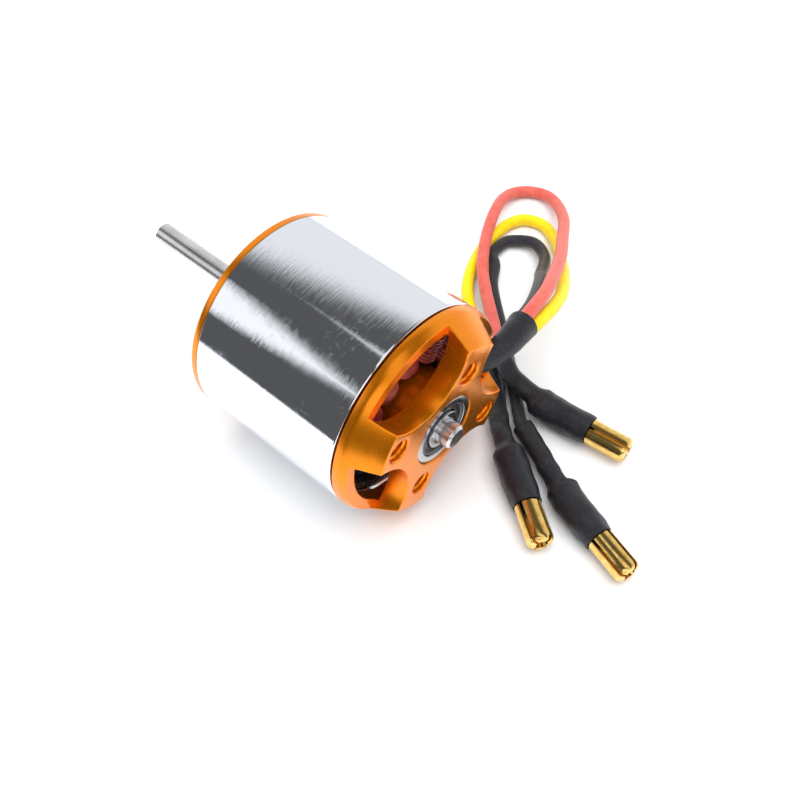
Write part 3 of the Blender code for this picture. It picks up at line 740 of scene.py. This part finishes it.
def make_cap():
    """The bell cap: vented plate, rim and the hub that the grub screws clamp."""
    bm = bmesh.new()
    rim = [
        (BELL_R - 0.3, 0), (BELL_R - 0.09, 0.09), (BELL_R, 0.3), (BELL_R, CAP_RIM),
        (CAP_LIP_R, CAP_RIM), (CAP_LIP_R, CAP_PLATE),
    ]
    rings = turn(bm, rim, 192, closed=False)
    faces, feet = [rings[0]], [rings[-1]]
    for i in range(VENTS):
        loop = vent_outline(math.radians(-90) + 2 * math.pi * i / VENTS)
        rings = edge_rings(bm, loop, 0, 0.15, True, -1)
        faces.append(rings[0])
        feet.append(wall(bm, rings, loop, CAP_PLATE))
    hub = [
        (HUB_R + 0.4, 0, 0), (HUB_R, 0, 0.39), (HUB_R, HUB_FRONT, 0.4), (BORE_R, HUB_FRONT, 0.15),
        (BORE_R, HUB_BACK, 0.1), (HUB_INNER_R, HUB_BACK, 0.2), (HUB_INNER_R, CAP_PLATE, 0),
    ]
    rings = turn(bm, rounded(hub), 96, closed=False)
    faces.append(rings[0])
    feet.append(rings[-1])
    fill(bm, faces)
    fill(bm, feet)
    cap = mesh_piece("bell_cap_turned", bm, "orange_anodised", "rotor", ["bell_cap"], weighted=False)
    for degrees in GRUB_ANGLES:
        cutter = grub_cutter(degrees)
        modifier = cap.modifiers.new("grub hole", "BOOLEAN")
        modifier.operation = "DIFFERENCE"
        modifier.solver = "EXACT"
        modifier.object = cutter
    apply_modifiers(cap)
    modifier = cap.modifiers.new("even normals", "WEIGHTED_NORMAL")
    modifier.keep_sharp = True
    for cutter in [o for o in bpy.data.objects if o.name.startswith("cutter_")]:
        bpy.data.objects.remove(cutter)


def grub_cutter(degrees):
    """A round tool through one side of the hub."""
    bm = bmesh.new()
    bmesh.ops.create_cone(
        bm, cap_ends=True, segments=32, radius1=GRUB_HOLE_R * MM, radius2=GRUB_HOLE_R * MM, depth=4.5 * MM
    )
    mesh = bpy.data.meshes.new("cutter")
    bm.to_mesh(mesh)
    bm.free()
    cutter = bpy.data.objects.new(f"cutter_{degrees}", mesh)
    bpy.context.scene.collection.objects.link(cutter)
    middle = spot(3.2, GRUB_STATION, degrees)
    direction = (middle - spot(0, GRUB_STATION, 0)).normalized()
    cutter.matrix_world = Matrix.Translation(middle) @ direction.to_track_quat("Z", "Y").to_matrix().to_4x4()
    return cutter


def apply_modifiers(obj):
    """Keeps the mesh that the modifiers make, shaded smooth again."""
    bpy.context.view_layer.update()
    graph = bpy.context.evaluated_depsgraph_get()
    mesh = bpy.data.meshes.new_from_object(obj.evaluated_get(graph))
    obj.modifiers.clear()
    obj.data = mesh
    mesh.shade_smooth()
    mesh.set_sharp_from_angle(angle=math.radians(35))


def make_bell():
    """The flux ring, with the corners rounded and the inner end opened out."""
    inside = BELL_R - BELL_WALL
    profile = [
        (BELL_R, RING_END, 0.28), (BELL_R, CAP_RIM + 0.04, 0.08), (inside, CAP_RIM + 0.04, 0.05),
        (inside, RING_END - 0.5, 0.1), (inside + 0.3, RING_END, 0.1),
    ]
    turned_piece("bell_ring", profile, "polished_steel", "rotor", ["flux_ring"], 256)


def make_shaft():
    """The shaft, chamfered at both ends."""
    profile = [
        (0, SHAFT_SPAN[1], 0), (SHAFT_R - 0.3, SHAFT_SPAN[1], 0.06), (SHAFT_R, SHAFT_SPAN[1] - 0.3, 0.06),
        (SHAFT_R, SHAFT_SPAN[0] + 0.3, 0.06), (SHAFT_R - 0.3, SHAFT_SPAN[0], 0.06), (0, SHAFT_SPAN[0], 0),
    ]
    turned_piece("shaft_turned", profile, "ground_steel", "rotor", ["shaft"], 96, closed=False)


SHIELD = (  # radius, depth under the shield's face
    (3.77, 0.34), (3.77, 0.1), (3.70, 0.02), (3.60, 0), (3.48, 0.02), (3.42, 0.12),
    (3.36, 0.14), (2.78, 0.14), (2.68, 0.2), (2.66, 0.34), (2.9, 0.30), (3.5, 0.32),
)


def make_bearing(where, middle, out):
    """The races and the outside shield of a bearing. out is +1 where the outside faces +X."""
    half = BEARING_WIDTH / 2
    outer = [
        (BEARING_R, middle + half, 0.22), (BEARING_R, middle - half, 0.22),
        (OUTER_RACE_R, middle - half, 0.08), (OUTER_RACE_R, middle - 1.5, 0),
        (OUTER_TRACK_R, middle - 1.3, 0), (OUTER_TRACK_R, middle + 1.3, 0),
        (OUTER_RACE_R, middle + 1.5, 0), (OUTER_RACE_R, middle + half, 0.08),
    ]
    turned_piece(
        f"{where}_outer_race", outer, "bearing_steel", "stator", [f"{where}_bearing_outer_race"]
    )
    inner = [
        (INNER_RACE_R, middle + half, 0.08), (INNER_RACE_R, middle - half, 0.08),
        (BORE_R, middle - half, 0.15), (BORE_R, middle + half, 0.15),
    ]
    turned_piece(f"{where}_inner_race", inner, "bearing_steel", "rotor", [f"{where}_bearing_inner_race"])
    face = middle + out * (half - 0.15)
    bm = bmesh.new()
    turn(bm, [(radius, face - out * depth) for radius, depth in SHIELD], 96)
    mesh_piece(f"{where}_shield", bm, "shield_steel", "stator", [f"{where}_bearing_outside_shield"])


def tube_rings(bm, path, radii, sides, wobble=0.0, seed=0.0):
    """Rings of a bent tube. Radii in mm, one for each point of the path, which is in metres."""
    rings = []
    up = Vector((0, 0, 1))
    for i, point in enumerate(path):
        along = (path[min(i + 1, len(path) - 1)] - path[max(i - 1, 0)]).normalized()
        side = up.cross(along).normalized() if i == 0 else (side - along * side.dot(along)).normalized()
        other = along.cross(side)
        ring = []
        for k in range(sides):
            angle = 2 * math.pi * k / sides
            direction = side * math.cos(angle) + other * math.sin(angle)
            lump = 0.0
            if wobble:
                place = (point + direction * radii[i] * MM) / MM * LUMPS_PER_MM
                lump = wobble * noise.noise(place + Vector((seed, 0, 0)))
            ring.append(bm.verts.new(point + direction * (radii[i] + lump) * MM))
        rings.append(ring)
    return rings


def smooth_route(points, step):
    """Evenly spaced points, step mm apart, on a Catmull-Rom curve through a route in metres."""
    knots = [Vector(p) for p in points]
    knots = [2 * knots[0] - knots[1], *knots, 2 * knots[-1] - knots[-2]]
    fine = []
    for a, b, c, d in zip(knots, knots[1:], knots[2:], knots[3:]):
        for i in range(16):
            t = i / 16
            square = (2 * a - 5 * b + 4 * c - d) * t**2
            cube = (3 * b - a - 3 * c + d) * t**3
            fine.append(0.5 * (2 * b + (c - a) * t + square + cube))
    fine.append(knots[-2])
    lengths = [0.0]
    for a, b in zip(fine, fine[1:]):
        lengths.append(lengths[-1] + (b - a).length)
    count = max(4, round(lengths[-1] / (step * MM)))
    spaced = []
    k = 0
    for i in range(count + 1):
        wanted = lengths[-1] * i / count
        while k < len(fine) - 2 and lengths[k + 1] < wanted:
            k += 1
        share = (wanted - lengths[k]) / (lengths[k + 1] - lengths[k])
        spaced.append(fine[k].lerp(fine[k + 1], min(1.0, share)))
    return spaced


def make_coils():
    """Twelve windings of enamelled wire, each turn a closed loop round its tooth."""
    generator = random.Random(12)
    bm = bmesh.new()
    middle = sum(STACK) / 2
    spread = math.tan(math.pi / TEETH)
    radius = COIL_R[0] + GAUGE * 0.55
    while radius < COIL_R[1] - GAUGE * 0.4:
        room = radius * spread - 0.08 - STEM_HALF
        side_by_side = max(1, int(room / (GAUGE * 0.93)))
        for layer in range(END_LAYERS):
            half_width = STEM_HALF + GAUGE * (0.55 + 0.93 * min(layer, side_by_side - 1))
            half_length = STACK_HALF + GAUGE * (0.75 + 0.98 * layer)
            lift = radius + generator.uniform(-0.03, 0.03)
            loop_of_wire(bm, lift, half_width, half_length, middle, generator)
        radius += GAUGE * 0.97
    bmesh.ops.recalc_face_normals(bm, faces=bm.faces)
    mesh = bpy.data.meshes.new("winding")
    bm.to_mesh(mesh)
    bm.free()
    mesh.shade_smooth()
    mesh.materials.append(FINISHES["enamelled_copper"])
    for i in range(TEETH):
        obj = bpy.data.objects.new(f"winding_{i + 1:02d}", mesh)
        bpy.context.scene.collection.objects.link(obj)
        obj.location = AXIS
        obj.rotation_euler.x = math.radians(-90) + 2 * math.pi * i / TEETH
        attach(obj, "stator")
        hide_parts(f"coil_{i + 1:02d}")


def loop_of_wire(bm, radius, half_width, half_length, middle, generator):
    """One turn as a rounded rectangle, relative to the axis, for a tooth that points along +Y."""
    corner = min(half_width * 0.75, 1.2)
    path = []
    for cx, cy, start in ((1, 1, 0), (-1, 1, 90), (-1, -1, 180), (1, -1, 270)):
        for k in range(6):
            angle = math.radians(start + 90 * k / 5)
            x = cx * (half_length - corner) + corner * math.cos(angle)
            y = cy * (half_width - corner) + corner * math.sin(angle)
            sag = COIL_SAG * max(0.0, abs(x) - STACK_HALF) / (END_LAYERS * 0.45)
            path.append((middle + x, radius - sag + generator.uniform(-0.02, 0.02), y))
    points = [Vector(p) for p in path]
    rings = []
    for i, point in enumerate(points):
        along = (points[(i + 1) % len(points)] - points[i - 1]).normalized()
        side = Vector((0, 1, 0))
        other = along.cross(side).normalized()
        ring = []
        for k in range(8):
            angle = 2 * math.pi * k / 8
            offset = (side * math.cos(angle) + other * math.sin(angle)) * GAUGE / 2
            ring.append(bm.verts.new((point + offset) * MM))
        rings.append(ring)
    strip(bm, [*rings, rings[0]])


def make_sleeve():
    """The short tube round the three wires, from the scallop to where they part."""
    path = smooth_route(SLEEVE_ROUTE, 0.35)
    count = len(path) - 1
    radii = [1.5 + 0.5 * max(0.0, i / count - 0.35) / 0.65 for i in range(count + 1)]
    bm = bmesh.new()
    rings = tube_rings(bm, path, radii, 40, 0.10, 3.0)
    half = count // 2
    inner = tube_rings(bm, path[half:], [r - 0.16 for r in radii[half:]], 40, 0.10, 3.0)
    strip(bm, rings)
    strip(bm, inner)
    strip(bm, [rings[-1], inner[-1]])
    fill(bm, [rings[0]])
    return mesh_piece("lead_sleeve_soft", bm, "shrink_tube", "stator", ["lead_sleeve"], 60, weighted=False)


def shrink_radius(left):
    """Radius in mm of a shrink tube, left mm before its far end."""
    shoulder = min(1.0, max(0.0, (9.2 - left) / 1.5))
    shoulder = shoulder * shoulder * (3 - 2 * shoulder)
    neck = min(1.0, max(0.0, (1.6 - left) / 1.6))
    return 1.35 + 0.78 * shoulder - 0.16 * neck


def make_shrink_tube(colour):
    """Heat-shrink over the end of a wire and the solder cup of its pin, open at both ends."""
    path = smooth_route(SHRINK_ROUTES[colour], 0.3)
    left = [0.0]
    for a, b in zip(reversed(path), list(reversed(path))[1:]):
        left.append(left[-1] + (a - b).length / MM)
    left.reverse()
    radii = [shrink_radius(x) for x in left]
    seed = LUMP_SEEDS[colour]
    bm = bmesh.new()
    rings = tube_rings(bm, path, radii, 48, 0.2, seed)
    tail = [i for i, x in enumerate(left) if x < 2.5]
    mouth = tube_rings(bm, [path[i] for i in tail], [radii[i] - 0.2 for i in tail], 48, 0.1, seed)
    head = tube_rings(bm, path[:8], [r - 0.3 for r in radii[:8]], 48)
    strip(bm, rings)
    strip(bm, mouth)
    strip(bm, [rings[-1], mouth[-1]])
    strip(bm, head)
    strip(bm, [rings[0], head[0]])
    return mesh_piece(
        f"shrink_{colour}", bm, "shrink_tube", "stator", [f"shrink_tube_{colour}"], 60, weighted=False
    )


def make_pin(colour):
    """A bullet pin: four sprung fingers round a bore, with rounded tips."""
    route = SHRINK_ROUTES[colour]
    start, before = Vector(route[-1]), Vector(route[-2])
    direction = (start - before).normalized()
    bm = bmesh.new()
    profile = [
        (-2.5, 1.5), (-0.2, 1.5), (0.0, PIN_R), (0.5, PIN_R), (2.0, PIN_R), (3.6, PIN_R),
        (PIN_LENGTH - 0.7, PIN_R), (PIN_LENGTH - 0.45, PIN_R - 0.06), (PIN_LENGTH - 0.2, PIN_R - 0.2),
        (PIN_LENGTH - 0.06, PIN_R - 0.38), (PIN_LENGTH, PIN_R - 0.6),
    ]
    for quarter in range(4):
        rings = []
        for station, radius in profile:
            points = [(x * MM, y * MM, station * MM) for x, y in finger(radius, quarter)]
            rings.append(ring_of(bm, points))
        strip(bm, rings)
        fill(bm, [rings[0]])
        fill(bm, [rings[-1]])
    turned = direction.to_track_quat("Z", "Y") @ Quaternion((0, 0, 1), PIN_TURNS[colour])
    place = Matrix.Translation(start + direction * PIN_GAP * MM) @ turned.to_matrix().to_4x4()
    bmesh.ops.transform(bm, verts=bm.verts, matrix=place)
    return mesh_piece(f"bullet_{colour}", bm, "gold_plate", "stator", [f"bullet_pin_{colour}"], 40)


def finger(radius, quarter):
    """The section of one of the pin's fingers, in mm across the pin."""
    slot = 0.19
    inner = 0.75
    corner = 0.12
    low = math.asin((slot + corner) / radius)
    high = math.pi / 2 - low
    shoulder = math.sqrt(max(radius**2 - slot**2, 0)) - corner
    points = [(slot, math.sqrt(inner**2 - slot**2)), (slot, shoulder)]
    for k in range(13):
        angle = high + (low - high) * k / 12
        points.append((radius * math.cos(angle), radius * math.sin(angle)))
    points.append((shoulder, slot))
    points.append((math.sqrt(inner**2 - slot**2), slot))
    for angle in (0.45, math.pi / 4, math.pi / 2 - 0.45):
        points.append((inner * math.cos(angle), inner * math.sin(angle)))
    c, s = math.cos(quarter * math.pi / 2), math.sin(quarter * math.pi / 2)
    return [(x * c - y * s, x * s + y * c) for x, y in points]


def make_wire(colour):
    """One lead's wire, from inside the sleeve to inside its shrink tube."""
    route = [Vector(p) for p in WIRE_ROUTES[colour]]
    sleeve = [Vector(p) for p in SLEEVE_ROUTE]
    drift = route[0] - sleeve[-1]
    inside = [sleeve[-3] + drift * 0.55, sleeve[-2] + drift * 0.85]
    ahead = route[-1].lerp(Vector(SHRINK_ROUTES[colour][1]), 0.8)
    points = smooth_route([*inside, *route, ahead], 0.7)
    curve = bpy.data.curves.new(f"lead_{colour}", "CURVE")
    curve.dimensions = "3D"
    curve.bevel_depth = WIRE_R * MM
    curve.bevel_resolution = 6
    curve.use_fill_caps = True
    spline = curve.splines.new("POLY")
    spline.points.add(len(points) - 1)
    for point, place in zip(spline.points, points):
        point.co = (*place, 1)
    spline.use_smooth = True
    return add_piece(f"lead_{colour}", curve, f"{colour}_silicone", "stator", [f"wire_{colour}"])


def make_leads():
    """Makes the sleeve, and for each lead its wire, shrink tube and pin."""
    sleeve = make_sleeve()
    for colour in ("red", "yellow", "black"):
        wire = make_wire(colour)
        pieces = [make_shrink_tube(colour), make_pin(colour)]
        if colour == "red":
            pieces.append(sleeve)


KEPT = (
    ("magnet_", "coated_magnet"), ("grub_screw", "black_oxide"), ("stator_core", "coated_core"),
    ("hub_spacer", "bearing_steel"), ("ball_set", "bearing_steel"), ("inside_shield", "shield_steel"),
)
SOFTENED = ("magnet_", "grub_screw", "hub_spacer")


def dress_nodes():
    """The CAD nodes that stay: their finish, and soft edges on the magnets and screws."""
    for name, obj in frame["nodes"].items():
        if obj.hide_render:
            continue
        for kind, slot in KEPT:
            if name.startswith(kind) or name.endswith(kind):
                obj.data.materials.clear()
                obj.data.materials.append(FINISHES[slot])
                if kind in SOFTENED:
                    bevel = obj.modifiers.new("soft edges", "BEVEL")
                    bevel.width = 0.12 * MM
                    bevel.segments = 3
                    bevel.limit_method = "ANGLE"
                    bevel.angle_limit = math.radians(40)
                    bevel.harden_normals = True


make_leads()
make_base()
make_cap()
make_bell()
make_shaft()
make_bearing("rear", REAR_BEARING, 1)
make_bearing("front", FRONT_BEARING, -1)
make_coils()
dress_nodes()


# Studio

FLOOR_SPLIT = -0.1
FLOOR_REACH = 3
FLOOR_DROP = 0.00002
DARK = 0.1


def make_floor():
    """A pale floor in two sheets. Polished faces don't mirror the one on the -Y side."""
    f = Finish("floor_finish", (0.9, 0.9, 0.9), 0.7, Specular_IOR_Level=0.2)
    paper = f.noise(f.place(), 0.05, 3.0)
    lit = f.blend(paper, (0.87, 0.885, 0.90), (0.89, 0.90, 0.91))
    material = f.use(Base_Color=lit)
    reach = FLOOR_REACH
    for name, near, far in (("floor", FLOOR_SPLIT, reach), ("floor_far", -reach, FLOOR_SPLIT)):
        mesh = bpy.data.meshes.new(name)
        corners = [(-reach, near, 0), (reach, near, 0), (reach, far, 0), (-reach, far, 0)]
        mesh.from_pydata(corners, [], [(0, 1, 2, 3)])
        mesh.materials.append(material)
        floor = bpy.data.objects.new(name, mesh)
        floor.location.z = -FLOOR_DROP
        floor.visible_glossy = name == "floor"
        bpy.context.scene.collection.objects.link(floor)


def make_world():
    """The studio: white from the +Y side to high overhead, then dark with three tapered panels."""
    world = bpy.data.worlds.new("studio")
    world.use_nodes = True
    bpy.context.scene.world = world
    sky = Nodes(world.node_tree)
    coords = sky.node("ShaderNodeTexCoord")
    way = sky.node("ShaderNodeSeparateXYZ", {0: coords.outputs["Generated"]}).outputs
    turned = sky.maths(sky.maths(way["Z"], way["Y"], "ARCTAN2"), math.degrees(1), "MULTIPLY")
    behind = sky.maths(sky.maths(turned, -45, "LESS_THAN"), 360, "MULTIPLY")
    angle = sky.maths(turned, behind)  # degrees from +Y over the top towards -Y
    lean = sky.spread(way["X"], (-0.6, -0.4), (-21, 21))
    white = sky.spread(sky.maths(angle, lean), (57, 81), (0.9, DARK), smooth=True)
    panel = tapered(sky, way["X"], angle, 139.5, (-0.60, -0.42), (21, 0.5), 1.1)
    overhead = tapered(sky, way["X"], angle, 94.0, (-0.48, -0.15), (-1.0, 13.0), 1.0)
    front = tapered(sky, way["X"], angle, 136.0, (0.0, 0.5), (-2.0, 22.0), 1.3)
    panels = sky.maths(panel, sky.maths(overhead, front, "MAXIMUM"), "MAXIMUM")
    strength = sky.maths(white, panels, "MAXIMUM")
    back = world.node_tree.nodes["Background"]
    back.inputs["Color"].default_value = (1, 1, 1, 1)
    world.node_tree.links.new(strength, back.inputs["Strength"])


def tapered(sky, along, angle, middle, span, halves, strength):
    """A light band round a middle angle, whose half width goes from one value to another along a span."""
    half = sky.spread(along, span, halves)
    off = sky.maths(sky.maths(angle, middle, "SUBTRACT"), 0.0, "ABSOLUTE")
    return sky.spread(sky.maths(off, half, "SUBTRACT"), (-0.8, 0.8), (strength, 0.0))


def area_light(name, place, target, size, watts):
    """A soft light that polished faces don't mirror."""
    data = bpy.data.lights.new(name, "AREA")
    data.shape = "RECTANGLE"
    data.size, data.size_y = size
    data.energy = watts
    light = bpy.data.objects.new(name, data)
    light.location = place
    light.rotation_mode = "QUATERNION"
    light.rotation_quaternion = (Vector(target) - Vector(place)).to_track_quat("-Z", "Y")
    light.visible_glossy = False
    bpy.context.scene.collection.objects.link(light)


make_floor()
make_world()
area_light("key", (-0.25, -0.36, 0.45), (0, 0, 0.014), (0.7, 0.3), 1.2)
area_light("fill", (0.1, 0.1, 1.2), (0, 0, 0), (1.4, 1.4), 18.0)
bpy.context.scene.view_settings.view_transform = "Standard"
